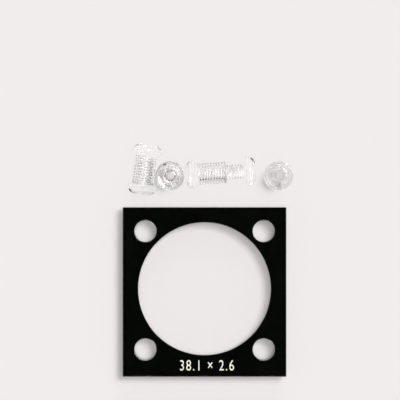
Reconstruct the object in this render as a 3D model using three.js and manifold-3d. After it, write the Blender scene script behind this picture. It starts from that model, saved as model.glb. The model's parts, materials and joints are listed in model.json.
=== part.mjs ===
// Coin holder of three stacked acrylic sheets, laid flat, with its four screw and barrel nut pairs beside it.
// Millimetres, +Z up. The origin is on the axis of the coin hole, on the face that the holder lies on.
import * as THREE from 'three';
import { mergeVertices } from 'three/addons/utils/BufferGeometryUtils.js';
import Module from 'manifold-3d';

const wasm = await Module();
wasm.setup();

// Sheets
const sheetThickness = 3.175;
const sheetCount = 3;
const coinDiameter = 38.1;
const coinClearance = 0.4;
const cornerLand = 1.786; // between the coin hole and a corner hole, before the holes are shifted down
const holesDrop = 0.4; // from the coin's axis down to the middle of the four corner holes
const sideMargin = 3.355; // from a corner hole to the sheet's side
const topMargin = 3.705;
const bottomMargin = 4.705;

// Fasteners
const barrelDiameter = 6.1;
const barrelClearance = 0.25; // on the diameter, in the sheets' corner holes
const barrelShortfall = 0.525; // the barrel stays below the stack's height, so that the heads clamp it
const headDiameter = 8.4;
const headRimThickness = 0.9;
const headHeight = 2.6;
const headLandDiameter = 4.6;
const domeStep = 0.2; // from the rim's edge in to the foot of the dome
const slotWidth = 1.2;
const slotDepth = 1.2;
const threadDiameter = 4.17;
const threadPitch = 0.794;
const threadDepth = 0.487;
const threadClearance = 0.13; // radial, between the two threads
const threadFade = 0.6; // length over which a thread grows or dies away
const mouthLead = 0.5; // plain lead-in at the mouth of the nut
const neckLength = 0.8; // plain shank under the screw's head
const shankShortfall = 1.4; // how much shorter the shank is than the barrel
const tipClearance = 0.6; // from the shank's tip to the bottom of the bore
const seatGap = 0.3; // left under the screw's head when the pair is screwed together
const releaseClearance = 0.2; // from tip to mouth when the pair has come apart

// Layout of the loose fasteners beyond the sheets' top edge
const standingStandoff = 9.1; // from the sheets' edge to the axis of the standing pairs
const standingScrewX = -10;
const lyingStandoff = 3.8; // from the sheets' edge to the near end of the closed pair that lies down
const lyingHeading = THREE.MathUtils.degToRad(-98); // the way its screw's head points
const pairGap = 0.3; // beside the standing screw
const openPairRaise = 0.3; // of the half-unscrewed pair's end, beyond the standing pairs' axes
const openPairHeading = THREE.MathUtils.degToRad(3.6);
const openPairTravel = 5.6; // how far this pair is unscrewed
const endGap = 0.5; // at the ends of the half-unscrewed pair
const standingScrewSpin = THREE.MathUtils.degToRad(24);
const lyingSpin = THREE.MathUtils.degToRad(65);

// Facets
const coinHoleSides = 96;
const cornerHoleSides = 32;
const headSides = 24;
const domeRings = 3;
const threadSides = 12;

// Cuts run this far past the faces that they open
const overrun = 1;

// Derived sizes
const coinHoleRadius = (coinDiameter + coinClearance) / 2;
const cornerHoleRadius = (barrelDiameter + barrelClearance) / 2;
const cornerHoleReach = (coinHoleRadius + cornerLand + cornerHoleRadius) / Math.SQRT2;
const sheetSide = cornerHoleReach + cornerHoleRadius + sideMargin;
const sheetTop = cornerHoleReach - holesDrop + cornerHoleRadius + topMargin;
const sheetBottom = -cornerHoleReach - holesDrop - cornerHoleRadius - bottomMargin;
const barrelLength = sheetCount * sheetThickness - barrelShortfall;
const shankLength = barrelLength - shankShortfall;
const boreDepth = shankLength + tipClearance;
const headRadius = headDiameter / 2;
const barrelRadius = barrelDiameter / 2;
const mouthHeight = headHeight + barrelLength;
const seatHeight = mouthHeight + seatGap;
const closedLength = seatHeight + headHeight;
const releaseTravel = shankLength - seatGap + releaseClearance;
const threadRootRadius = threadDiameter / 2 - threadDepth;

const upward = new THREE.Vector3(0, 0, 1);

function clearAcrylic() {
  return new THREE.MeshStandardMaterial({
    color: 0xeef1f2, roughness: 0.06, metalness: 0, transparent: true, opacity: 0.35,
  });
}

function blackAcrylic() {
  return new THREE.MeshStandardMaterial({ color: 0x060706, roughness: 0.16, metalness: 0 });
}

function circlePath(x, y, radius, sides) {
  const points = new THREE.EllipseCurve(x, y, radius, radius).getPoints(sides).slice(0, sides);
  return new THREE.Path(points);
}

// One sheet with a hole in each corner, and with the coin's hole where there is one.
function sheetGeometry(holdsCoin) {
  const outline = new THREE.Shape([
    new THREE.Vector2(-sheetSide, sheetBottom),
    new THREE.Vector2(sheetSide, sheetBottom),
    new THREE.Vector2(sheetSide, sheetTop),
    new THREE.Vector2(-sheetSide, sheetTop),
  ]);
  for (const across of [-1, 1]) {
    for (const along of [-1, 1]) {
      const x = across * cornerHoleReach;
      const y = along * cornerHoleReach - holesDrop;
      outline.holes.push(circlePath(x, y, cornerHoleRadius, cornerHoleSides));
    }
  }
  if (holdsCoin) {
    outline.holes.push(circlePath(0, 0, coinHoleRadius, coinHoleSides));
  }
  return new THREE.ExtrudeGeometry(outline, { depth: sheetThickness, bevelEnabled: false });
}

function sheet(name, level, holdsCoin, material) {
  const mesh = new THREE.Mesh(sheetGeometry(holdsCoin), material);
  mesh.name = name;
  mesh.position.z = level * sheetThickness;
  return mesh;
}

// A closed mesh with shared vertices as a solid that can be joined and cut.
function solidOf(geometry) {
  const bare = geometry.clone();
  bare.deleteAttribute('normal');
  bare.deleteAttribute('uv');
  const merged = mergeVertices(bare);
  const index = merged.index.array;
  const kept = [];
  for (let i = 0; i < index.length; i += 3) {
    const [a, b, c] = index.slice(i, i + 3);
    if (a !== b && b !== c && c !== a) {
      kept.push(a, b, c);
    }
  }
  const mesh = new wasm.Mesh({
    numProp: 3,
    vertProperties: new Float32Array(merged.attributes.position.array),
    triVerts: new Uint32Array(kept),
  });
  return new wasm.Manifold(mesh);
}

function geometryOf(solid) {
  const { vertProperties, triVerts } = solid.getMesh();
  const geometry = new THREE.BufferGeometry();
  geometry.setAttribute('position', new THREE.BufferAttribute(vertProperties, 3));
  geometry.setIndex(new THREE.BufferAttribute(triVerts, 1));
  geometry.computeVertexNormals();
  return geometry;
}

// A turned solid about Z. The profile runs upward from the axis to the axis.
function turned(profile) {
  const geometry = new THREE.LatheGeometry(profile, headSides);
  return solidOf(geometry.rotateX(Math.PI / 2));
}

// The outer side of a domed head, from its foot on the rim to the edge of its flat land.
// It starts at the height given and rises the way that the sign says.
function domePoints(rimHeight, sign) {
  const foot = headRadius - domeStep;
  const land = headLandDiameter / 2;
  const rise = headHeight - headRimThickness;
  const points = [];
  for (let ring = 0; ring <= domeRings; ring += 1) {
    const angle = ((Math.PI / 2) * ring) / domeRings;
    const radius = land + (foot - land) * Math.cos(angle);
    points.push(new THREE.Vector2(radius, rimHeight + sign * rise * Math.sin(angle)));
  }
  return points;
}

// How proud the thread's ridge stands, from 0 at its root to 1 at its crest, at a number of turns along it.
function ridgeShare(turns) {
  return 1 - 2 * Math.abs(turns - Math.round(turns));
}

// A solid rod about Z with a right-hand thread. Its rows of vertices follow the helix from crest to root,
// and stop at the rod's two ends. heightShare says how much of the thread's depth stands there.
function threadedRod(bottom, top, rootRadius, heightShare) {
  const rowsPerTurn = 2;
  const firstTurn = Math.floor(bottom / threadPitch) - 2;
  const lastTurn = Math.ceil(top / threadPitch) + 1;
  const rows = (lastTurn - firstTurn) * rowsPerTurn;
  const positions = [];
  for (let side = 0; side < threadSides; side += 1) {
    const angle = (2 * Math.PI * side) / threadSides;
    for (let row = 0; row < rows; row += 1) {
      const turns = firstTurn + row / rowsPerTurn + side / threadSides;
      const z = THREE.MathUtils.clamp(turns * threadPitch, bottom, top);
      const share = heightShare(z, ridgeShare(z / threadPitch - side / threadSides));
      const radius = rootRadius + threadDepth * share;
      positions.push(radius * Math.cos(angle), radius * Math.sin(angle), z);
    }
  }
  const lowerCentre = positions.length / 3;
  positions.push(0, 0, bottom);
  const upperCentre = positions.length / 3;
  positions.push(0, 0, top);
  const vertexAt = (side, row) => {
    const wrapped = side === threadSides ? row + rowsPerTurn : row;
    return (side % threadSides) * rows + Math.min(wrapped, rows - 1);
  };
  const index = [];
  for (let side = 0; side < threadSides; side += 1) {
    for (let row = 0; row < rows - 1; row += 1) {
      const here = vertexAt(side, row);
      const beside = vertexAt(side + 1, row);
      const above = vertexAt(side, row + 1);
      const across = vertexAt(side + 1, row + 1);
      index.push(here, beside, across, here, across, above);
    }
    index.push(lowerCentre, vertexAt(side + 1, 0), vertexAt(side, 0));
    index.push(upperCentre, vertexAt(side, rows - 1), vertexAt(side + 1, rows - 1));
  }
  const geometry = new THREE.BufferGeometry();
  geometry.setAttribute('position', new THREE.Float32BufferAttribute(positions, 3));
  geometry.setIndex(index);
  return solidOf(geometry);
}

// The barrel nut stands on its head's land at height 0, with its mouth at the top.
function barrelNutGeometry() {
  const rimHeight = headHeight - headRimThickness;
  const body = turned([
    new THREE.Vector2(0, 0),
    ...domePoints(rimHeight, -1).reverse(),
    new THREE.Vector2(headRadius, rimHeight),
    new THREE.Vector2(headRadius, headHeight),
    new THREE.Vector2(barrelRadius, headHeight),
    new THREE.Vector2(barrelRadius, mouthHeight),
    new THREE.Vector2(0, mouthHeight),
  ]);
  const boreBottom = mouthHeight - boreDepth;
  const bore = threadedRod(
    boreBottom,
    mouthHeight + overrun,
    threadRootRadius + threadClearance,
    (z, ridge) => {
      const grown = THREE.MathUtils.clamp((z - boreBottom) / threadFade, 0, 1);
      const lead = THREE.MathUtils.clamp((z - mouthHeight + mouthLead) / mouthLead, 0, 1);
      return Math.max(ridge * grown, lead);
    },
  );
  return geometryOf(body.subtract(bore));
}

// The screw hangs tip down over the nut, with its thread in step with the nut's.
function screwGeometry() {
  const rimHeight = seatHeight + headRimThickness;
  const landHeight = seatHeight + headHeight;
  const head = turned([
    new THREE.Vector2(0, seatHeight),
    new THREE.Vector2(headRadius, seatHeight),
    new THREE.Vector2(headRadius, rimHeight),
    ...domePoints(rimHeight, 1),
    new THREE.Vector2(0, landHeight),
  ]);
  const tip = seatHeight - shankLength;
  const threadEnd = seatHeight - neckLength;
  const shank = threadedRod(tip, seatHeight + headRimThickness / 2, threadRootRadius, (z, ridge) => {
    const grown = THREE.MathUtils.clamp((z - tip) / threadFade, 0, 1);
    const left = THREE.MathUtils.clamp((threadEnd - z) / threadFade, 0, 1);
    return ridge * Math.min(grown, left);
  });
  const slotCut = new THREE.BoxGeometry(slotWidth, headDiameter + overrun, slotDepth + overrun);
  slotCut.translate(0, 0, landHeight + (overrun - slotDepth) / 2);
  return geometryOf(head.add(shank).subtract(solidOf(slotCut)));
}

const nutShape = barrelNutGeometry();
const screwShape = screwGeometry();

// One screw and its barrel nut on a common axis. start is the middle of the nut's head, on its land;
// direction points from there to the screw's head, and travel is how far the pair is unscrewed.
function fastenerPair(number, { start, direction, spin, travel }) {
  const pair = new THREE.Group();
  pair.position.copy(start);
  pair.quaternion.setFromUnitVectors(upward, direction);
  pair.rotateZ(spin);
  const nut = new THREE.Mesh(nutShape, clearAcrylic());
  nut.name = `barrel_nut_${number}`;
  const screw = new THREE.Mesh(screwShape, clearAcrylic());
  screw.name = `screw_${number}`;
  screw.position.z = travel;
  screw.rotation.z = (2 * Math.PI * travel) / threadPitch;
  return pair.add(nut, screw);
}

function flatDirection(heading) {
  return new THREE.Vector3(Math.cos(heading), Math.sin(heading), 0);
}

function fastenerLayout() {
  const standingY = sheetTop + standingStandoff;
  // The closed pair leans past the standing screw, and its screw's head is the near end.
  const lyingWay = flatDirection(lyingHeading);
  const lyingNearY = sheetTop + lyingStandoff;
  const lyingReach = (lyingNearY - standingY) / lyingWay.y;
  const lyingBeside = (headRadius + barrelRadius + pairGap) / Math.abs(lyingWay.y);
  const lyingStartOffset = lyingReach - closedLength;
  const lyingStart = new THREE.Vector3(standingScrewX - lyingBeside, standingY, headRadius);
  lyingStart.addScaledVector(lyingWay, lyingStartOffset);
  // The half-unscrewed pair runs from the standing screw to the standing nut, and has room to come apart.
  const openWay = flatDirection(openPairHeading);
  const openStart = new THREE.Vector3(
    standingScrewX + headRadius + endGap,
    standingY + openPairRaise,
    headRadius,
  );
  const openReach = (closedLength + releaseTravel) * openWay.x;
  const standingNutX = openStart.x + openReach + endGap + headRadius;
  return [
    { start: lyingStart, direction: lyingWay, spin: lyingSpin, travel: 0 },
    {
      start: new THREE.Vector3(standingScrewX, standingY, 0),
      direction: upward,
      spin: standingScrewSpin,
      travel: 0,
    },
    { start: openStart, direction: openWay, spin: 0, travel: openPairTravel },
    {
      start: new THREE.Vector3(standingNutX, standingY, closedLength),
      direction: upward.clone().negate(),
      spin: 0,
      travel: 0,
    },
  ];
}

const group = new THREE.Group();
group.add(
  sheet('back_cover', 0, false, clearAcrylic()),
  sheet('centre_plate', 1, true, blackAcrylic()),
  sheet('front_cover', 2, false, clearAcrylic()),
);
fastenerLayout().forEach((place, index) => group.add(fastenerPair(index + 1, place)));

export default group;
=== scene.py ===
"""Looks of a coin holder of three acrylic sheets that lies flat.

Its four screw and barrel nut pairs lie loose beyond its top edge.
"""
import json
import logging
import math
from dataclasses import dataclass, field
from enum import Enum
from itertools import pairwise
from typing import Optional, Sequence, Union

import bpy
from mathutils import Matrix, Quaternion, Vector


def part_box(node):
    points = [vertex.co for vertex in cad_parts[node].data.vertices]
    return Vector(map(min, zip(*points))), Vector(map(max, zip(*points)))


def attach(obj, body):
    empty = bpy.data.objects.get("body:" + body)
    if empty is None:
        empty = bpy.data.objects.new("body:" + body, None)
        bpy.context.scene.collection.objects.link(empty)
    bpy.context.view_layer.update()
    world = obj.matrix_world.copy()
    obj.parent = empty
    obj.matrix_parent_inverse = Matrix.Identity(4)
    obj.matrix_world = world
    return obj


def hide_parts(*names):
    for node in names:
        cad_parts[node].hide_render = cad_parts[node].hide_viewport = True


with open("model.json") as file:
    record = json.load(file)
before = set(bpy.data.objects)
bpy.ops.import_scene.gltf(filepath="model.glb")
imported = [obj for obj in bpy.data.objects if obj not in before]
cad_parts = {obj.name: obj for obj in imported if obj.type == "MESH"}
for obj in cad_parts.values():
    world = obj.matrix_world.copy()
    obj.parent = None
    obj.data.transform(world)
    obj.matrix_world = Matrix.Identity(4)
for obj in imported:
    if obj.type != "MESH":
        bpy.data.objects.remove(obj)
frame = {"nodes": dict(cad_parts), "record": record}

LOG = logging.getLogger("coin_holder")

Colour = tuple[float, float, float, float]
Triple = tuple[float, float, float]
Range = tuple[float, float]
Outline = Sequence[tuple[float, float]]
Value = Union["Signal", float, tuple]

# A millimetre in metres
MM = 0.001
# Doubled vertices merge within this distance, in millimetres
WELD = 0.0005
# Tools run this far past the faces that they open, in millimetres
OVERRUN = 1.0
# A face is upright when its normal rises by less than this
UPRIGHT = 0.3
# The steps round a rounded edge, in radians
QUARTER_TURN = tuple(math.radians(angle) for angle in (0, 30, 60, 90))
# Meshes are sorted by distance from this point, in millimetres, which lies off their planes of symmetry
SORTING_POINT = (31.7, 47.3, 83.9)
ACRYLIC_IOR = 1.49


# Shader maths


class Signal:
    """One socket of a shader, which takes part in sums as a number does."""

    def __init__(self, graph: "Graph", socket: bpy.types.NodeSocket) -> None:
        """Wraps a socket.

        Args:
            graph: The nodes that it belongs to.
            socket: The output that it stands for.
        """
        self.graph = graph
        self.socket = socket

    def sibling(self, name: str) -> "Signal":
        """Another output of the same node."""
        return Signal(self.graph, self.socket.node.outputs[name])

    def _sum(self, operation: str, first: Value, second: Value) -> "Signal":
        """Adds one Math node."""
        return self.graph.node("ShaderNodeMath", {"operation": operation}, {0: first, 1: second})

    def __add__(self, other: Value) -> "Signal":
        """self + other."""
        return self._sum("ADD", self, other)

    def __radd__(self, other: Value) -> "Signal":
        """other + self."""
        return self._sum("ADD", other, self)

    def __mul__(self, other: Value) -> "Signal":
        """self * other."""
        return self._sum("MULTIPLY", self, other)

    def __rmul__(self, other: Value) -> "Signal":
        """other * self."""
        return self._sum("MULTIPLY", other, self)

    def largest(self, other: Value) -> "Signal":
        """The larger of the two."""
        return self._sum("MAXIMUM", self, other)

    def above(self, start: float, full: float) -> "Signal":
        """A smooth mask.

        Args:
            start: The value up to which the mask is 0.
            full: The value from which it is 1.

        Returns:
            The mask.
        """
        settings = {"interpolation_type": "SMOOTHSTEP"}
        sockets = {"Value": self, "From Min": start, "From Max": full}
        return self.graph.node("ShaderNodeMapRange", settings, sockets)


class Graph:
    """The nodes of one material, or of the world."""

    def __init__(self, tree: bpy.types.NodeTree) -> None:
        """Starts with no nodes.

        Args:
            tree: The node tree to fill.
        """
        self.tree = tree
        tree.nodes.clear()

    def node(
        self,
        kind: str,
        settings: Optional[dict] = None,
        sockets: Optional[dict] = None,
        output: Union[int, str] = 0,
    ) -> Signal:
        """Adds one node.

        Args:
            kind: The node's type.
            settings: Its own settings, which are set first.
            sockets: The values or signals of its inputs, by name or number.
            output: The output that is wanted.

        Returns:
            That output, or the first input of a node that ends a tree.
        """
        made = self.tree.nodes.new(kind)
        for name, value in (settings or {}).items():
            setattr(made, name, value)
        for key, value in (sockets or {}).items():
            if isinstance(value, Signal):
                self.tree.links.new(value.socket, made.inputs[key])
            else:
                made.inputs[key].default_value = value
        return Signal(self, made.outputs[output] if made.outputs else made.inputs[0])

    def mixed(self, share: Value, first: Value, second: Value) -> Signal:
        """A colour between two others."""
        sockets = {0: share, 6: first, 7: second}
        return self.node("ShaderNodeMix", {"data_type": "RGBA"}, sockets, output=2)

    def bump(self, height: Signal, relief: "Relief") -> Signal:
        """A surface normal from heights of 0 to 1."""
        sockets = {"Height": height, "Distance": relief.height, "Strength": relief.strength}
        return self.node("ShaderNodeBump", {}, sockets)

    def body(self, sockets: dict) -> Signal:
        """The shader of an opaque or clear solid, with the inputs given by name."""
        return self.node("ShaderNodeBsdfPrincipled", {}, sockets)

    def surface(self, shader: Signal) -> None:
        """Ends the tree of a material."""
        self.node("ShaderNodeOutputMaterial", {}, {"Surface": shader})

    def letting_lamps_through(self, shader: Signal, shade: Colour) -> Signal:
        """Lets the lamps' light pass straight through a clear piece, so that it casts only a pale shadow.

        Args:
            shader: The clear shader.
            shade: The share of each colour of light that passes.

        Returns:
            The shader that does both.
        """
        ray = self.node("ShaderNodeLightPath", output="Is Shadow Ray")
        passing = ray.largest(ray.sibling("Is Diffuse Ray"))
        open_way = self.node("ShaderNodeBsdfTransparent", {}, {"Color": shade})
        return self.node("ShaderNodeMixShader", {}, {0: passing, 1: shader, 2: open_way})


@dataclass(frozen=True)
class Relief:
    """The height in metres that the bumps of a surface reach, and the share of it that shows."""

    height: float
    strength: float


@dataclass(frozen=True)
class Grain:
    """Soft noise that lies still in the object.

    It has a number of cells a metre along each axis, after a turn about Z in degrees.
    """

    cells: Triple
    turn: float = 0.0
    detail: float = 2.0

    def on(self, graph: Graph) -> Signal:
        """The noise, from 0 to 1."""
        here = graph.node("ShaderNodeTexCoord", output="Object")
        angle = (0.0, 0.0, math.radians(self.turn))
        turned = graph.node("ShaderNodeMapping", {}, {"Vector": here, "Rotation": angle})
        spot = graph.node("ShaderNodeVectorMath", {"operation": "MULTIPLY"}, {0: turned, 1: self.cells})
        sockets = {"Vector": spot, "Scale": 1.0, "Detail": self.detail, "Roughness": 0.5}
        return graph.node("ShaderNodeTexNoise", {"noise_dimensions": "3D"}, sockets)


@dataclass(frozen=True)
class Hairlines:
    """Fine straight scratches from handling and wiping.

    They run at a turn in degrees, with a width and a length in metres. Their rarity goes from 0.5, where they
    are everywhere, to 0.8, where there are hardly any.
    """

    turn: float
    width: float
    length: float
    rarity: float
    softness: float = 0.06

    def on(self, graph: Graph) -> Signal:
        """A mask that is 1 in a scratch."""
        cells = (1 / self.length, 1 / self.width, 1 / self.length)
        return Grain(cells, self.turn, 3.0).on(graph).above(self.rarity, self.rarity + self.softness)


# Finishes


@dataclass(frozen=True)
class Finish:
    """A finish that is made of nodes."""

    name: str

    def paint(self, graph: Graph) -> None:
        """Fills the nodes of the material."""
        raise NotImplementedError

    def material(self) -> bpy.types.Material:
        """The finish as a material, made once."""
        known = bpy.data.materials.get(self.name)
        if known:
            return known
        made = bpy.data.materials.new(self.name)
        made.use_nodes = True
        self.paint(Graph(made.node_tree))
        return made


@dataclass(frozen=True)
class PolishedClear(Finish):
    """Polished clear acrylic sheet with faint hairlines from handling."""

    name: str = "polished_clear_sheet"
    tint: Colour = (0.998, 0.999, 0.999, 1.0)
    deeper: Colour = (0.994, 0.997, 0.996, 1.0)
    shade: Colour = (0.996, 0.998, 0.998, 1.0)
    roughness: float = 0.004
    scratch_roughness: float = 0.05
    wiped: Hairlines = Hairlines(28.0, 0.00009, 0.012, 0.66)
    crossed: Hairlines = Hairlines(-51.0, 0.00007, 0.009, 0.69)
    rolling: Grain = Grain((90.0, 90.0, 90.0), turn=12.0)
    relief: Relief = Relief(0.000004, 0.6)

    def paint(self, graph: Graph) -> None:
        """Fills the nodes of the material."""
        scratches = self.wiped.on(graph).largest(self.crossed.on(graph))
        rolling = self.rolling.on(graph)
        body = graph.body(
            {
                "Base Color": graph.mixed(rolling, self.tint, self.deeper),
                "Roughness": scratches * self.scratch_roughness + self.roughness,
                "IOR": ACRYLIC_IOR,
                "Transmission Weight": 1.0,
                "Normal": graph.bump(rolling, self.relief),
            }
        )
        graph.surface(graph.letting_lamps_through(body, self.shade))


@dataclass(frozen=True)
class MilledClear(Finish):
    """The cut edges of the clear sheets and the walls of their holes, with the mill's fine lines."""

    name: str = "milled_clear_edge"
    tint: Colour = (0.95, 0.975, 0.97, 1.0)
    misted: Colour = (0.90, 0.95, 0.94, 1.0)
    shade: Colour = (0.985, 0.99, 0.99, 1.0)
    roughness: float = 0.05
    mist_roughness: float = 0.12
    line_roughness: float = 0.10
    lines: Grain = Grain((260.0, 260.0, 1 / 0.00022), detail=3.0)
    mist: Grain = Grain((900.0, 900.0, 900.0), turn=33.0, detail=4.0)
    relief: Relief = Relief(0.00002, 0.5)

    def paint(self, graph: Graph) -> None:
        """Fills the nodes of the material."""
        lines, mist = self.lines.on(graph), self.mist.on(graph)
        body = graph.body(
            {
                "Base Color": graph.mixed(mist, self.tint, self.misted),
                "Roughness": mist * self.mist_roughness + lines * self.line_roughness + self.roughness,
                "IOR": ACRYLIC_IOR,
                "Transmission Weight": 1.0,
                "Normal": graph.bump(lines, self.relief),
            }
        )
        graph.surface(graph.letting_lamps_through(body, self.shade))


@dataclass(frozen=True)
class PolishedBlack(Finish):
    """Polished black acrylic sheet."""

    name: str = "polished_black_sheet"
    deep: Colour = (0.0010, 0.0018, 0.0011, 1.0)
    worn: Colour = (0.0024, 0.0034, 0.0025, 1.0)
    cloud_share: float = 0.6
    scratch_share: float = 0.4
    roughness: float = 0.035
    cloud_roughness: float = 0.03
    scratch_roughness: float = 0.07
    wiped: Hairlines = Hairlines(17.0, 0.00010, 0.010, 0.65)
    crossed: Hairlines = Hairlines(-64.0, 0.00008, 0.007, 0.68)
    clouds: Grain = Grain((160.0, 160.0, 160.0), detail=4.0)
    relief: Relief = Relief(0.000004, 0.5)

    def paint(self, graph: Graph) -> None:
        """Fills the nodes of the material."""
        scratches = self.wiped.on(graph).largest(self.crossed.on(graph))
        clouds = self.clouds.on(graph)
        wear = clouds * self.cloud_share + scratches * self.scratch_share
        rough = clouds * self.cloud_roughness + scratches * self.scratch_roughness + self.roughness
        body = graph.body(
            {
                "Base Color": graph.mixed(wear, self.deep, self.worn),
                "Roughness": rough,
                "IOR": ACRYLIC_IOR,
                "Normal": graph.bump(clouds, self.relief),
            }
        )
        graph.surface(body)


@dataclass(frozen=True)
class MilledBlack(Finish):
    """The cut edges of the black sheet and the walls of its holes."""

    name: str = "milled_black_edge"
    deep: Colour = (0.0035, 0.0042, 0.0035, 1.0)
    raised: Colour = (0.014, 0.015, 0.014, 1.0)
    raised_lines: Range = (0.45, 0.75)
    roughness: float = 0.21
    dust_roughness: float = 0.16
    line_roughness: float = 0.10
    lines: Grain = Grain((240.0, 240.0, 1 / 0.00020), detail=3.0)
    dust: Grain = Grain((1100.0, 1100.0, 1100.0), turn=40.0, detail=4.0)
    relief: Relief = Relief(0.00002, 0.6)

    def paint(self, graph: Graph) -> None:
        """Fills the nodes of the material."""
        lines, dust = self.lines.on(graph), self.dust.on(graph)
        body = graph.body(
            {
                "Base Color": graph.mixed(lines.above(*self.raised_lines), self.deep, self.raised),
                "Roughness": dust * self.dust_roughness + lines * self.line_roughness + self.roughness,
                "IOR": ACRYLIC_IOR,
                "Normal": graph.bump(lines, self.relief),
            }
        )
        graph.surface(body)


@dataclass(frozen=True)
class MouldedClear(Finish):
    """Moulded clear acrylic of the screws and barrel nuts, a little wavy from the mould."""

    name: str = "moulded_clear_fastener"
    tint: Colour = (0.999, 1.0, 1.0, 1.0)
    haze: Colour = (0.985, 0.99, 0.99, 1.0)
    hazy_waves: Range = (0.35, 0.75)
    shade: Colour = (0.994, 0.996, 0.996, 1.0)
    roughness: float = 0.05
    dull_roughness: float = 0.08
    dull_spots: Range = (0.5, 0.8)
    wave_share: float = 0.8
    fine_share: float = 0.2
    waves: Grain = Grain((420.0, 420.0, 300.0), turn=20.0)
    fine: Grain = Grain((2400.0, 2400.0, 2400.0), turn=-35.0, detail=3.0)
    relief: Relief = Relief(0.00003, 0.6)

    def paint(self, graph: Graph) -> None:
        """Fills the nodes of the material."""
        waves, fine = self.waves.on(graph), self.fine.on(graph)
        height = waves * self.wave_share + fine * self.fine_share
        body = graph.body(
            {
                "Base Color": graph.mixed(waves.above(*self.hazy_waves), self.tint, self.haze),
                "Roughness": fine.above(*self.dull_spots) * self.dull_roughness + self.roughness,
                "IOR": ACRYLIC_IOR,
                "Transmission Weight": 1.0,
                "Normal": graph.bump(height, self.relief),
            }
        )
        graph.surface(graph.letting_lamps_through(body, self.shade))


@dataclass(frozen=True)
class StampedFoil(Finish):
    """Pale gold stamping foil, a little patchy where it took unevenly."""

    name: str = "pale_gold_foil"
    bright: Colour = (0.86, 0.84, 0.70, 1.0)
    thin: Colour = (0.58, 0.57, 0.46, 1.0)
    thin_patches: Range = (0.45, 0.85)
    metal_share: float = 0.3
    roughness: float = 0.34
    grain_roughness: float = 0.16
    patches: Grain = Grain((1400.0, 1400.0, 1400.0), detail=4.0)
    grain: Grain = Grain((7000.0, 7000.0, 7000.0), turn=25.0)
    relief: Relief = Relief(0.00001, 0.5)

    def paint(self, graph: Graph) -> None:
        """Fills the nodes of the material."""
        patches, grain = self.patches.on(graph), self.grain.on(graph)
        body = graph.body(
            {
                "Base Color": graph.mixed(patches.above(*self.thin_patches), self.bright, self.thin),
                "Roughness": grain * self.grain_roughness + self.roughness,
                "Metallic": patches * self.metal_share,
                "Normal": graph.bump(grain, self.relief),
            }
        )
        graph.surface(body)


@dataclass(frozen=True)
class PaleTable(Finish):
    """The plain pale surface that everything lies on.

    Where it is seen through clear surfaces, the table glows a little more for each one: painted light,
    added as emission, that makes up for the light those surfaces mirror away.
    """

    name: str = "pale_table"
    colour: Colour = (0.862, 0.838, 0.832, 1.0)
    shaded: Colour = (0.852, 0.828, 0.822, 1.0)
    painted_glow_per_crossing: Triple = (0.034, 0.029, 0.029)
    roughness: float = 0.75
    grain_roughness: float = 0.1
    grain: Grain = Grain((700.0, 700.0, 700.0), detail=4.0)

    def paint(self, graph: Graph) -> None:
        """Fills the nodes of the material."""
        grain = self.grain.on(graph)
        # Painted light: emission that grows with the number of clear surfaces the table is seen through
        crossed = graph.node("ShaderNodeLightPath", output="Transmission Depth")
        sockets = {0: self.painted_glow_per_crossing, "Scale": crossed}
        body = graph.body(
            {
                "Base Color": graph.mixed(grain, self.colour, self.shaded),
                "Roughness": grain * self.grain_roughness + self.roughness,
                "Specular IOR Level": 0.0,
                "Emission Color": graph.node("ShaderNodeVectorMath", {"operation": "SCALE"}, sockets),
                "Emission Strength": 1.0,
            }
        )
        graph.surface(body)


# Modelling


class Cut(Enum):
    """What one solid does to another."""

    AWAY = "DIFFERENCE"
    JOINED = "UNION"
    COMMON = "INTERSECT"


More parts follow.
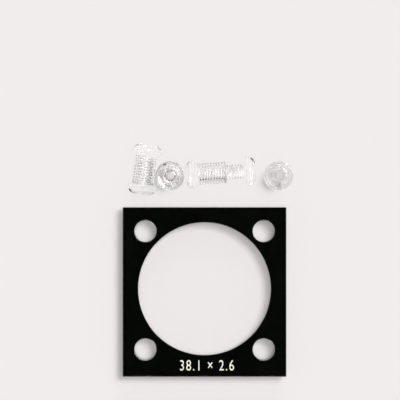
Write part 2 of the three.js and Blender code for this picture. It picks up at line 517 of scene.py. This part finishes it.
class Bench:
    """Modelling steps in millimetres, with one piece worked on at a time."""

    @staticmethod
    def clear() -> None:
        """Leaves edit mode and deselects everything."""
        if bpy.context.object and bpy.context.object.mode != "OBJECT":
            bpy.ops.object.mode_set(mode="OBJECT")
        bpy.ops.object.select_all(action="DESELECT")

    @staticmethod
    def hold(piece: bpy.types.Object) -> None:
        """Selects one piece and makes it the active one."""
        Bench.clear()
        piece.select_set(True)
        bpy.context.view_layer.objects.active = piece

    @staticmethod
    def started(name: str) -> bpy.types.Object:
        """Names the primitive that was just added, and puts its place into its mesh."""
        piece = bpy.context.object
        piece.name = name
        piece.data.name = name
        bpy.ops.object.transform_apply(location=True, rotation=True, scale=True)
        return piece

    @staticmethod
    def outward(piece: bpy.types.Object) -> None:
        """Merges doubled vertices and turns all faces outwards."""
        Bench.hold(piece)
        bpy.ops.object.mode_set(mode="EDIT")
        bpy.ops.mesh.select_all(action="SELECT")
        bpy.ops.mesh.remove_doubles(threshold=WELD)
        bpy.ops.mesh.normals_make_consistent(inside=False)
        bpy.ops.object.mode_set(mode="OBJECT")

    @staticmethod
    def block(name: str, low: Vector, high: Vector, ease: float, segments: int = 3) -> bpy.types.Object:
        """A block with rounded edges.

        Args:
            name: The piece's name.
            low: Its lowest corner.
            high: Its highest corner.
            ease: The radius of its edges.
            segments: The facets across an edge.

        Returns:
            The block.
        """
        Bench.clear()
        bpy.ops.mesh.primitive_cube_add(size=1, location=(low + high) / 2, scale=high - low)
        piece = Bench.started(name)
        bpy.ops.object.mode_set(mode="EDIT")
        bpy.ops.mesh.select_all(action="SELECT")
        bpy.ops.mesh.bevel(offset=ease, segments=segments, affect="EDGES")
        bpy.ops.object.mode_set(mode="OBJECT")
        Bench.outward(piece)
        return piece

    @staticmethod
    def turned(name: str, outline: Outline, sides: int) -> bpy.types.Object:
        """A solid of revolution about Z.

        Args:
            name: The piece's name.
            outline: Its radius and height at each step, from its lower end to its upper end.
            sides: The facets round it.

        Returns:
            The solid.
        """
        Bench.clear()
        radius, height = outline[0]
        bpy.ops.mesh.primitive_circle_add(
            vertices=sides, radius=radius, fill_type="NGON", location=(0, 0, height)
        )
        piece = Bench.started(name)
        bpy.ops.object.mode_set(mode="EDIT")
        bpy.ops.mesh.select_all(action="SELECT")
        for (radius, height), (next_radius, next_height) in pairwise(outline):
            lift = {"value": (0, 0, next_height - height), "orient_type": "GLOBAL"}
            bpy.ops.mesh.extrude_region_move(TRANSFORM_OT_translate=lift)
            share = next_radius / radius
            bpy.ops.transform.resize(value=(share, share, 1), center_override=(0, 0, next_height))
        bpy.ops.object.mode_set(mode="OBJECT")
        Bench.outward(piece)
        return piece

    @staticmethod
    def combined(piece: bpy.types.Object, tool: bpy.types.Object, cut: Cut) -> None:
        """Cuts or joins a piece with a tool, which is used up.

        Args:
            piece: The piece that changes.
            tool: The solid that changes it.
            cut: What the tool does.
        """
        Bench.hold(piece)
        step = piece.modifiers.new("cut", "BOOLEAN")
        step.object = tool
        step.operation = cut.value
        step.solver = "EXACT"
        bpy.ops.object.modifier_apply(modifier=step.name)
        bpy.data.objects.remove(tool, do_unlink=True)
        Bench.ordered(piece)

    @staticmethod
    def ordered(piece: bpy.types.Object) -> None:
        """Sorts a mesh, because cuts and text leave it in an order that can change from run to run.

        Args:
            piece: The piece, whose vertices, edges and faces are sorted.
        """
        Bench.hold(piece)
        bpy.context.scene.cursor.location = SORTING_POINT
        bpy.ops.object.mode_set(mode="EDIT")
        bpy.ops.mesh.select_all(action="SELECT")
        bpy.ops.mesh.sort_elements(type="CURSOR_DISTANCE", elements={"VERT", "EDGE", "FACE"})
        bpy.ops.object.mode_set(mode="OBJECT")
        # New primitives are added at the cursor, so it goes back
        bpy.context.scene.cursor.location = (0.0, 0.0, 0.0)

    @staticmethod
    def smoothed(piece: bpy.types.Object, angle: float) -> None:
        """Smooth shading that keeps large faces flat and edges over the angle sharp."""
        Bench.hold(piece)
        bpy.ops.object.shade_smooth_by_angle(angle=math.radians(angle))
        step = piece.modifiers.new("weigh", "WEIGHTED_NORMAL")
        step.keep_sharp = True
        bpy.ops.object.modifier_apply(modifier=step.name)

    @staticmethod
    def dressed(piece: bpy.types.Object, finish: Finish, edge: Optional[Finish] = None) -> None:
        """Gives a piece its finish, and its upright faces another one.

        Args:
            piece: The piece.
            finish: The finish of its faces.
            edge: The finish of the faces that stand upright, if they have their own.
        """
        piece.data.materials.clear()
        piece.data.materials.append(finish.material())
        if edge:
            piece.data.materials.append(edge.material())
            for face in piece.data.polygons:
                face.material_index = 1 if abs(face.normal.z) < UPRIGHT else 0

    @staticmethod
    def handed_over(piece: bpy.types.Object, body: str, slot: str, replaces: Optional[str] = None) -> None:
        """Makes a finished piece ride on a body of the frame.

        Args:
            piece: The piece, with its place in its mesh, in metres.
            body: The body that carries it.
            slot: Not used.
            replaces: The node that it stands for, if any.
        """
        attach(piece, body)
        if replaces:
            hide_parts(replaces)
        LOG.info("%s: %d faces on %s", piece.name, len(piece.data.polygons), body)


# Sheets


class Layer(Enum):
    """The sheets of the stack, by the node that each stands for."""

    BACK = "back_cover"
    CENTRE = "centre_plate"
    FRONT = "front_cover"


@dataclass
class SizeMark:
    """The size of the coin, stamped into the centre plate as plain numbers."""

    text: str = "38.1 × 2.6"
    left: float = -7.1
    right: float = 8.55
    low: float = -23.68
    high: float = -20.67
    letter_gap: float = 1.2
    thinning: float = 0.002
    depth: float = 0.06
    foil_thickness: float = 0.035
    foil_lift: float = 0.004
    play: float = 0.002
    curve_steps: int = 6
    sliver: float = 0.001
    flat_angle: float = 0.5
    smooth_angle: float = 30.0

    def figures(self, name: str, low: float, high: float, inset: float) -> bpy.types.Object:
        """The numbers as solid figures.

        Args:
            name: The piece's name.
            low: The height of their underside.
            high: The height of their top.
            inset: How far their outline is drawn in.

        Returns:
            The figures.
        """
        Bench.clear()
        bpy.ops.object.text_add()
        words = bpy.context.object
        words.data.body = self.text
        words.data.space_character = self.letter_gap
        words.data.resolution_u = self.curve_steps
        # The figures are 1 thick until they are sized
        words.data.extrude = 0.5
        words.data.offset = -self.thinning - inset
        bpy.ops.object.convert(target="MESH")
        piece = Bench.started(name)
        corners = [vertex.co for vertex in piece.data.vertices]
        left, right = min(c.x for c in corners), max(c.x for c in corners)
        base, top = min(c.y for c in corners), max(c.y for c in corners)
        across = (self.right - self.left) / (right - left)
        along = (self.high - self.low) / (top - base)
        size = Matrix.Diagonal((across, along, high - low, 1.0))
        middle = Vector(((self.left + self.right) / 2, (self.low + self.high) / 2, (low + high) / 2))
        centred = Matrix.Translation(-Vector(((left + right) / 2, (base + top) / 2, 0.0)))
        piece.data.transform(Matrix.Translation(middle) @ size @ centred)
        Bench.outward(piece)
        Bench.ordered(piece)
        bpy.ops.object.mode_set(mode="EDIT")
        bpy.ops.mesh.select_all(action="SELECT")
        bpy.ops.mesh.dissolve_degenerate(threshold=self.sliver)
        bpy.ops.mesh.dissolve_limited(angle_limit=math.radians(self.flat_angle))
        bpy.ops.object.mode_set(mode="OBJECT")
        return piece

    def recess(self, top: float) -> bpy.types.Object:
        """The tool that presses the numbers into a face at the height given."""
        return self.figures("number_recess", top - self.depth, top + OVERRUN, 0.0)

    def foil(self, top: float) -> bpy.types.Object:
        """The foil that lies in the recess."""
        low = top - self.depth + self.foil_lift
        piece = self.figures("size_numbers", low, low + self.foil_thickness, self.play)
        Bench.dressed(piece, StampedFoil())
        Bench.smoothed(piece, self.smooth_angle)
        piece.data.transform(Matrix.Scale(MM, 4))
        return piece


@dataclass
class SheetStack:
    """The three sheets, whose outline is the frame's and whose holes and edges are finished here."""

    coin_hole_radius: float = 19.25
    corner_hole_radius: float = 3.175
    corner_hole_reach: float = 17.12
    corner_hole_drop: float = 0.40
    edge_ease: float = 0.1
    face_gap: float = 0.02
    lead: float = 0.2
    smooth_angle: float = 35.0
    corner_sides: int = 64
    coin_sides: int = 192
    mark: SizeMark = field(default_factory=SizeMark)

    def hole_tool(self, radius: float, low: float, high: float, sides: int) -> bpy.types.Object:
        """The tool for a hole whose two rims are rounded.

        Args:
            radius: The hole's radius.
            low: The height of the sheet's lower face.
            high: The height of its upper face.
            sides: The facets round it.

        Returns:
            The tool, on the origin's axis.
        """
        ease = self.edge_ease
        rims = [(radius + ease * (1 - math.sin(turn)), ease * (1 - math.cos(turn))) for turn in QUARTER_TURN]
        # The first facet runs on past the face, so that no rim of the tool lies in it
        (first, _), (second, rise) = rims[:2]
        wide = first + (first - second) * self.lead
        rims[0] = (wide, -rise * self.lead)
        lower = [(rim, low + depth) for rim, depth in rims]
        upper = [(rim, high - depth) for rim, depth in reversed(rims)]
        outline = [(wide, low - OVERRUN), *lower, *upper, (wide, high + OVERRUN)]
        return Bench.turned("hole_tool", outline, sides)

    def sheet(self, layer: Layer) -> bpy.types.Object:
        """One sheet with all its holes.

        Args:
            layer: Which sheet it is.

        Returns:
            The sheet, in millimetres.
        """
        low, high = (Vector(corner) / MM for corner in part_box(layer.value))
        low.z += self.face_gap / 2
        high.z -= self.face_gap / 2
        piece = Bench.block(f"{layer.value}_sheet", low, high, self.edge_ease)
        for across in (-1, 1):
            for along in (-1, 1):
                tool = self.hole_tool(self.corner_hole_radius, low.z, high.z, self.corner_sides)
                x = across * self.corner_hole_reach
                y = along * self.corner_hole_reach - self.corner_hole_drop
                tool.data.transform(Matrix.Translation((x, y, 0.0)))
                Bench.combined(piece, tool, Cut.AWAY)
        if layer is Layer.CENTRE:
            tool = self.hole_tool(self.coin_hole_radius, low.z, high.z, self.coin_sides)
            Bench.combined(piece, tool, Cut.AWAY)
            Bench.combined(piece, self.mark.recess(high.z), Cut.AWAY)
        return piece

    def build(self) -> None:
        """Builds the three sheets and the numbers, and hands them over."""
        for layer in Layer:
            piece = self.sheet(layer)
            if layer is Layer.CENTRE:
                Bench.dressed(piece, PolishedBlack(), MilledBlack())
                slot = "black_sheet"
            else:
                Bench.dressed(piece, PolishedClear(), MilledClear())
                slot = "clear_sheet"
            Bench.smoothed(piece, self.smooth_angle)
            piece.data.transform(Matrix.Scale(MM, 4))
            Bench.handed_over(piece, layer.value, slot, replaces=layer.value)
        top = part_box(Layer.CENTRE.value)[1].z / MM - self.face_gap / 2
        Bench.handed_over(self.mark.foil(top), Layer.CENTRE.value, "number_foil")


# Fasteners


@dataclass(frozen=True)
class Thread:
    """A right-hand thread with rounded crests and roots."""

    pitch: float = 0.794
    root_radius: float = 1.598
    depth: float = 0.487
    clearance: float = 0.13
    crest_share: float = 0.97
    steps: int = 40
    spare_turns: int = 2
    ridge: Outline = (
        (0.0, 1.0),
        (0.08, 0.985),
        (0.14, 0.93),
        (0.22, 0.70),
        (0.31, 0.36),
        (0.39, 0.10),
        (0.45, 0.02),
        (0.5, 0.0),
    )

    def rod(self, name: str, low: float, high: float, growth: float) -> bpy.types.Object:
        """A threaded rod about Z, whose crests face +X at whole numbers of pitches.

        Args:
            name: The piece's name.
            low: The height of its lower end.
            high: The height of its upper end.
            growth: How much larger its radius is than the screw's.

        Returns:
            The rod.
        """
        wave = [*self.ridge[:-1], *((1.0 - turn, share) for turn, share in reversed(self.ridge[1:]))]
        first = math.floor(low / self.pitch) - self.spare_turns
        last = math.ceil(high / self.pitch) + self.spare_turns
        points = []
        for number in range(first, last):
            for turn, share in wave:
                radius = self.root_radius + growth + self.depth * share * self.crest_share
                points.append(Vector((radius, 0.0, (number + turn) * self.pitch)))
        Bench.clear()
        bpy.ops.mesh.primitive_plane_add(size=1)
        piece = Bench.started(name)
        bpy.ops.object.mode_set(mode="EDIT")
        bpy.ops.mesh.select_all(action="SELECT")
        bpy.ops.mesh.merge(type="CENTER")
        bpy.ops.transform.translate(value=points[0], orient_type="GLOBAL")
        for here, there in pairwise(points):
            step = {"value": there - here, "orient_type": "GLOBAL"}
            bpy.ops.mesh.extrude_vertices_move(TRANSFORM_OT_translate=step)
        bpy.ops.object.mode_set(mode="OBJECT")
        screw = piece.modifiers.new("turn", "SCREW")
        screw.axis = "Z"
        screw.angle = 2 * math.pi
        screw.screw_offset = self.pitch
        screw.steps = self.steps
        screw.render_steps = self.steps
        bpy.ops.object.modifier_apply(modifier=screw.name)
        self.trim(piece, low, high)
        return piece

    @staticmethod
    def trim(piece: bpy.types.Object, low: float, high: float) -> None:
        """Cuts both ends of a rod square and closes them."""
        Bench.hold(piece)
        bpy.ops.object.mode_set(mode="EDIT")
        bpy.ops.mesh.select_all(action="SELECT")
        bpy.ops.mesh.remove_doubles(threshold=WELD)
        for height, normal in ((low, -1.0), (high, 1.0)):
            bpy.ops.mesh.select_all(action="SELECT")
            bpy.ops.mesh.bisect(
                plane_co=(0.0, 0.0, height), plane_no=(0.0, 0.0, normal), use_fill=True, clear_outer=True
            )
        bpy.ops.object.mode_set(mode="OBJECT")
        Bench.outward(piece)


@dataclass(frozen=True)
class Pair:
    """Where one screw and its barrel nut lie."""

    number: int
    spin: float
    travel: float = 0.0
    straight_down: float = -0.999

    def joint(self, kind: str) -> dict:
        """The pair's turn or travel joint in the record."""
        ending = f"_{self.number}_{kind}"
        joints = frame["record"]["behaviour"]["joints"]
        return next(joint for joint in joints if joint["name"].endswith(ending))

    def place(self) -> Matrix:
        """The pair's own frame, from millimetres to metres.

        Returns:
            The matrix that puts the head of the nut where the frame has it, with +Z towards the screw.
        """
        travel = self.joint("travel")
        sign = 1.0 if travel["child"].startswith("screw") else -1.0
        way = (Vector(travel["axis"]) * sign).normalized()
        turn = self.joint("turn")
        nut = frame["nodes"][f"barrel_nut_{self.number}"]
        on_axis = Vector(turn["pos_m"])
        reach = min((vertex.co - on_axis).dot(way) for vertex in nut.data.vertices)
        if way.z < self.straight_down:
            # Half a turn about Y
            lean = Quaternion((0.0, 0.0, 1.0, 0.0))
        else:
            lean = Vector((0.0, 0.0, 1.0)).rotation_difference(way)
        start = Matrix.Translation(on_axis + reach * way)
        spun = Matrix.Rotation(math.radians(self.spin), 4, "Z")
        return start @ lean.to_matrix().to_4x4() @ spun @ Matrix.Scale(MM, 4)


@dataclass
class FastenerSet:
    """The four screws and four barrel nuts, each modelled once and copied."""

    head_radius: float = 4.2
    head_height: float = 2.6
    rim_height: float = 0.9
    land_radius: float = 2.1
    dome_step: float = 0.2
    dome_rings: int = 8
    rim_ease: float = 0.1
    ease_middle: float = 0.3
    barrel_radius: float = 3.05
    barrel_length: float = 9.0
    barrel_fillet: float = 0.12
    lip_ease: float = 0.15
    lip_middle: float = 0.05
    bore_bottom: float = 3.4
    mouth_chamfer: float = 0.45
    mouth_step: float = 0.6
    mouth_spread: float = 0.15
    seat_height: float = 11.9
    shank_length: float = 7.6
    shank_root: float = 0.4
    neck_length: float = 0.8
    neck_fade: Range = (-0.35, 0.1)
    neck_top: float = 0.3
    tip_chamfer: float = 0.5
    tip_slope: float = 1.6
    tip_inset: float = 0.3
    skin: float = 0.02
    slot_width: float = 1.2
    slot_depth: float = 1.2
    slot_ease: float = 0.12
    sides: int = 64
    smooth_angle: float = 40.0
    thread: Thread = field(default_factory=Thread)
    pairs: tuple[Pair, ...] = (Pair(1, 65.0), Pair(2, 24.0), Pair(3, 0.0, 5.6), Pair(4, 0.0))

    def head(self) -> list[tuple[float, float]]:
        """The outline of a domed head, from the middle of its land to its inner face, with its land at 0."""
        foot = self.head_radius - self.dome_step
        rise = self.head_height - self.rim_height
        dome = []
        for step in range(self.dome_rings + 1):
            angle = math.radians(90.0 - step * 90.0 / self.dome_rings)
            radius = self.land_radius + (foot - self.land_radius) * math.cos(angle)
            dome.append((radius, rise * (1 - math.sin(angle))))
        ease, middle = self.rim_ease, self.rim_ease * self.ease_middle
        rim = [
            (self.head_radius - ease, rise),
            (self.head_radius - middle, rise + middle),
            (self.head_radius, rise + ease),
            (self.head_radius, self.head_height - ease),
            (self.head_radius - middle, self.head_height - middle),
            (self.head_radius - ease, self.head_height),
        ]
        return [*dome, *rim]

    def barrel_nut(self) -> bpy.types.Object:
        """A barrel nut that stands on its head, with its threaded bore open at the top."""
        foot, mouth = self.head_height, self.head_height + self.barrel_length
        radius, round_off = self.barrel_radius, self.barrel_fillet
        fillet = [
            (radius + round_off * (1 - math.sin(turn)), foot + round_off * (1 - math.cos(turn)))
            for turn in QUARTER_TURN
        ]
        lip = [
            (radius, mouth - self.lip_ease),
            (radius - self.lip_middle, mouth - self.lip_middle),
            (radius - self.lip_ease, mouth),
        ]
        piece = Bench.turned("barrel_nut_master", [*self.head(), *fillet, *lip], self.sides)
        bore = self.thread.rod("bore_tool", self.bore_bottom, mouth + OVERRUN, self.thread.clearance)
        Bench.combined(piece, bore, Cut.AWAY)
        root = self.thread.root_radius + self.thread.clearance
        crest = root + self.thread.depth
        lead = [
            (root - self.tip_inset, mouth - self.mouth_chamfer * 2),
            (crest, mouth - self.mouth_chamfer * self.mouth_step),
            (crest + self.mouth_spread, mouth),
            (crest + self.mouth_spread, mouth + OVERRUN),
        ]
        Bench.combined(piece, Bench.turned("lead_tool", lead, self.sides), Cut.AWAY)
        Bench.outward(piece)
        return piece

    def screw(self) -> bpy.types.Object:
        """A screw that hangs tip down in line with the nut, its thread in step with the nut's."""
        tip = self.seat_height - self.shank_length
        top = self.seat_height + self.head_height
        inset = self.thread.root_radius - self.tip_inset
        root = self.thread.root_radius + self.skin
        crest = self.thread.root_radius + self.thread.depth + self.skin
        shank = self.thread.rod("screw_master", tip, self.seat_height + self.shank_root, 0.0)
        neck = self.seat_height - self.neck_length
        fade_start, fade_end = self.neck_fade
        envelope = [
            (inset, tip - OVERRUN / 2),
            (inset, tip),
            (crest, tip + self.tip_chamfer * self.tip_slope),
            (crest, neck + fade_start),
            (root, neck + fade_end),
            (root, self.seat_height + self.neck_top),
        ]
        Bench.combined(shank, Bench.turned("shank_envelope", envelope, self.sides), Cut.COMMON)
        outline = [(radius, top - height) for radius, height in reversed(self.head())]
        Bench.combined(shank, Bench.turned("screw_head", outline, self.sides), Cut.JOINED)
        half = self.slot_width / 2
        reach = self.head_radius + OVERRUN
        low = Vector((-half, -reach, top - self.slot_depth))
        high = Vector((half, reach, top + OVERRUN))
        Bench.combined(shank, Bench.block("slot_tool", low, high, self.slot_ease, 2), Cut.AWAY)
        Bench.outward(shank)
        return shank

    def copied(self, master: bpy.types.Object, node: str, place: Matrix) -> None:
        """Puts a copy of a master in the place of a node.

        Args:
            master: The finished shape, in millimetres.
            node: The node, which is also the body's name.
            place: Where the shape goes, and its change to metres.
        """
        piece = bpy.data.objects.new(f"{node}_moulding", master.data.copy())
        bpy.context.scene.collection.objects.link(piece)
        piece.data.transform(place)
        Bench.handed_over(piece, node, "clear_fastener", replaces=node)

    def build(self) -> None:
        """Builds the two masters, copies them to the four pairs and hands the copies over."""
        nut, screw = self.barrel_nut(), self.screw()
        for master in (nut, screw):
            Bench.dressed(master, MouldedClear())
            Bench.smoothed(master, self.smooth_angle)
        for pair in self.pairs:
            place = pair.place()
            unscrewed = Matrix.Translation((0.0, 0.0, pair.travel))
            turned = Matrix.Rotation(2 * math.pi * pair.travel / self.thread.pitch, 4, "Z")
            self.copied(nut, f"barrel_nut_{pair.number}", place)
            self.copied(screw, f"screw_{pair.number}", place @ unscrewed @ turned)
        for master in (nut, screw):
            bpy.data.objects.remove(master, do_unlink=True)


# Studio


@dataclass(frozen=True)
class Lamp:
    """A soft lamp a long way off."""

    name: str
    azimuth: float
    elevation: float
    spread: float
    strength: float
    glints: bool = True

    def hang(self) -> None:
        """Hangs the lamp."""
        Bench.clear()
        bpy.ops.object.light_add(type="SUN", location=(0.0, 0.0, 1.0))
        lamp = bpy.context.object
        lamp.name = self.name
        lamp.data.energy = self.strength
        lamp.data.angle = math.radians(self.spread)
        turn, rise = math.radians(self.azimuth), math.radians(self.elevation)
        away = Vector((math.cos(rise) * math.cos(turn), math.cos(rise) * math.sin(turn), math.sin(rise)))
        lamp.rotation_euler = away.to_track_quat("Z", "Y").to_euler()
        lamp.visible_glossy = self.glints
        lamp.visible_transmission = self.glints


@dataclass
class Studio:
    """The pale table, the soft light and the camera straight above."""

    table_half: float = 20.0
    table_drop: float = 0.05
    lamps: tuple[Lamp, ...] = (
        Lamp("side_lamp", 36.0, 70.0, 21.0, 1.62),
        Lamp("overhead_lamp", 36.0, 90.0, 12.0, 1.19, glints=False),
        Lamp("far_lamp", 80.0, 31.0, 9.0, 0.14),
    )
    table_cuts: int = 3
    even_light: float = 0.13
    horizon: Colour = (0.86, 0.84, 0.83, 1.0)
    dark_patch: Colour = (0.0, 0.0, 0.0, 1.0)
    patch_height: Range = (0.975, 0.99)
    view_x: float = -1.305
    view_y: float = 25.72
    view_level: float = 6.35
    view_distance: float = 1200.0
    view_width: float = 115.98
    sensor_width: float = 36.0
    clip_range: Range = (0.01, 100.0)

    def table(self) -> None:
        """Lays the table under the object."""
        Bench.clear()
        level = -self.table_drop * MM
        bpy.ops.mesh.primitive_plane_add(size=2 * self.table_half, location=(0.0, 0.0, level))
        table = Bench.started("pale_table")
        bpy.ops.object.mode_set(mode="EDIT")
        bpy.ops.mesh.select_all(action="SELECT")
        bpy.ops.mesh.subdivide(number_cuts=self.table_cuts)
        bpy.ops.object.mode_set(mode="OBJECT")
        Bench.dressed(table, PaleTable())

    def surroundings(self) -> None:
        """Even light from all round, with the dark patch overhead that the camera looks out of."""
        world = bpy.data.worlds.new("even_tent")
        bpy.context.scene.world = world
        world.use_nodes = True
        graph = Graph(world.node_tree)
        way = graph.node("ShaderNodeTexCoord", output="Generated")
        height = graph.node("ShaderNodeSeparateXYZ", {}, {0: way}, output="Z")
        overhead = height.above(*self.patch_height)
        ray = graph.node("ShaderNodeLightPath", output="Is Camera Ray")
        seen = ray.largest(ray.sibling("Is Glossy Ray")).largest(ray.sibling("Is Transmission Ray"))
        pale = graph.mixed(overhead, self.horizon, self.dark_patch)
        even = (self.even_light, self.even_light, self.even_light, 1.0)
        light = graph.node("ShaderNodeBackground", {}, {"Color": graph.mixed(seen, even, pale)})
        graph.node("ShaderNodeOutputWorld", {}, {"Surface": light})

    def camera(self) -> None:
        """Sets the camera straight above, with the sheets' top edge upwards."""
        Bench.clear()
        height = self.view_level + self.view_distance
        place = (self.view_x * MM, self.view_y * MM, height * MM)
        bpy.ops.object.camera_add(location=place, rotation=(0.0, 0.0, 0.0))
        camera = bpy.context.object
        camera.name = "photo_view"
        camera.data.sensor_width = self.sensor_width
        camera.data.lens = self.sensor_width * self.view_distance / self.view_width
        camera.data.clip_start, camera.data.clip_end = self.clip_range
        bpy.context.scene.camera = camera

    def build(self) -> None:
        """Sets up everything that isn't the object."""
        bpy.context.scene.view_settings.view_transform = "Standard"
        self.table()
        for lamp in self.lamps:
            lamp.hang()
        self.surroundings()
        self.camera()


def main() -> None:
    """Builds the sheets, the fasteners and the studio in order."""
    logging.basicConfig(level=logging.INFO, format="%(name)s: %(message)s")
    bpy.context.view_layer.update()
    Studio().build()
    SheetStack().build()
    FastenerSet().build()
    Bench.clear()


if __name__ == "__main__":
    main()
